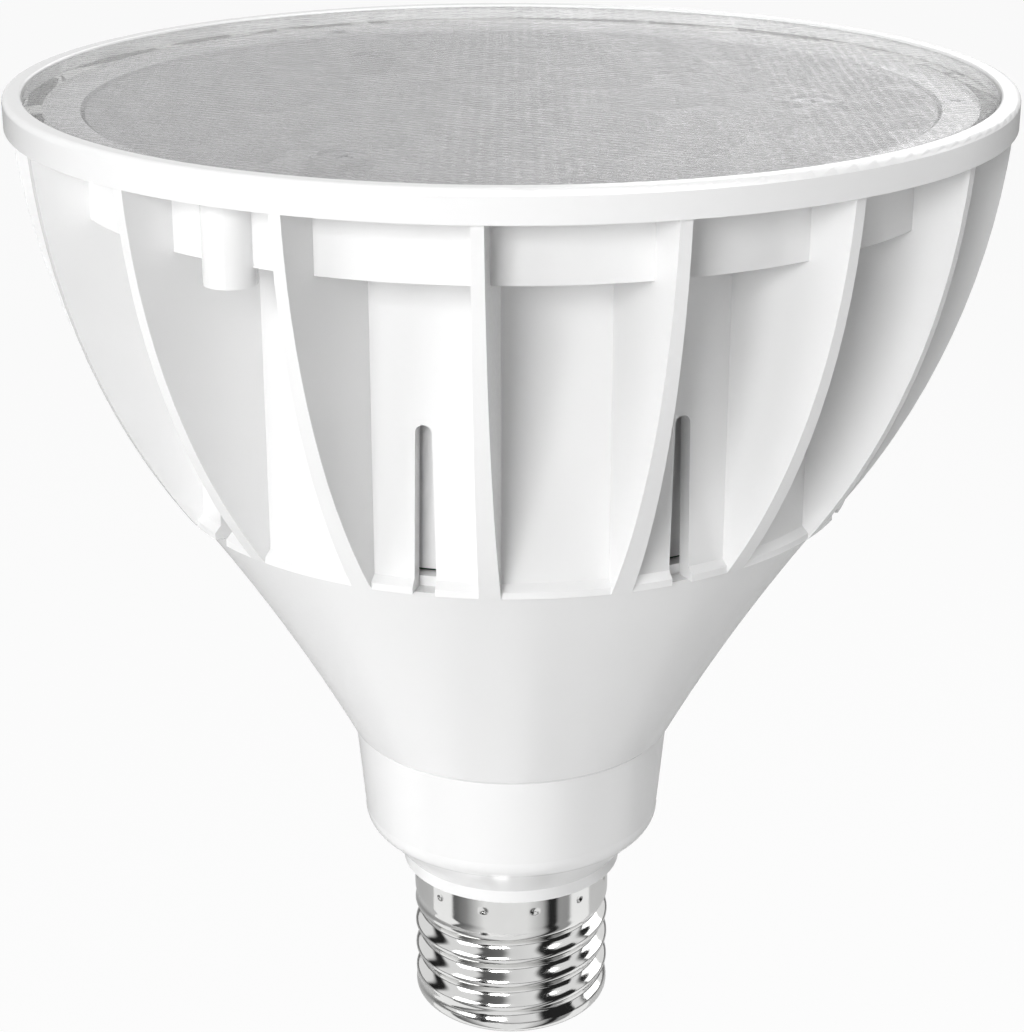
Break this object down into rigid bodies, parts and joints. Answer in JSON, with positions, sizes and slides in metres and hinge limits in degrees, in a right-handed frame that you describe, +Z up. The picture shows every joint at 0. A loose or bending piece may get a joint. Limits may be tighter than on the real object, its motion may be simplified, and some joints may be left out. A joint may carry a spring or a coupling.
{
  "type": "par spotlight bulb",
  "caption": "Reflector spotlight bulb with a flat clear lens over a cluster of moulded cups, a finned housing, a tapering cone and a medium screw base.",
  "frame": {"origin": "the tip of the centre contact, on the lamp's axis, at the bottom of the upright bulb", "axes": "+Z up the lamp's axis from the screw base to the lens; -Y is the side that faces the viewer in the picture; +X to the right"},
  "size_m": [0.1206, 0.1206, 0.1312],
  "materials": {
    "black_insulator": "satin",
    "steel_screw": "zinc plated",
    "black_epoxy": "matt",
    "capacitor_sleeve": "satin",
    "contact_brass": "tinned",
    "lead_insulation": "satin",
    "green_board": "satin",
    "film_box": "satin",
    "white_moulding": "gloss",
    "resistor_lacquer": "satin",
    "cast_aluminium": "satin",
    "copper_winding": "enamelled",
    "white_board": "satin",
    "led_phosphor": "matt",
    "clear_lens": "textured clear",
    "silicone_bead": "matt",
    "reflector_white": "satin",
    "nickel_plate": "polished",
    "varistor_coat": "satin",
    "ferrite": "matt",
    "winding_tape": "satin"
  },
  "bodies": {
    "root": {"base_insulator": "black_insulator", "board_screws": "steel_screw", "bridge_rectifier": "black_epoxy", "bulk_capacitor": "capacitor_sleeve", "centre_contact": "contact_brass", "contact_lead": "lead_insulation", "driver_board": "green_board", "film_capacitor": "film_box", "fin_housing": "white_moulding", "flange_screws": "steel_screw", "front_bezel": "white_moulding", "fusible_resistor": "resistor_lacquer", "heat_spreader": "cast_aluminium", "input_choke": "copper_winding", "led_board": "white_board", "led_chips": "led_phosphor", "lens_cover": "clear_lens", "lens_gasket": "silicone_bead", "lower_housing": "white_moulding", "negative_lead": "lead_insulation", "output_capacitor": "capacitor_sleeve", "positive_lead": "lead_insulation", "reflector_array": "reflector_white", "screw_shell": "nickel_plate", "shell_lead": "lead_insulation", "surge_varistor": "varistor_coat", "switching_transistor": "black_epoxy", "transformer_core": "ferrite", "transformer_winding": "winding_tape"}
  },
  "joints": []
}
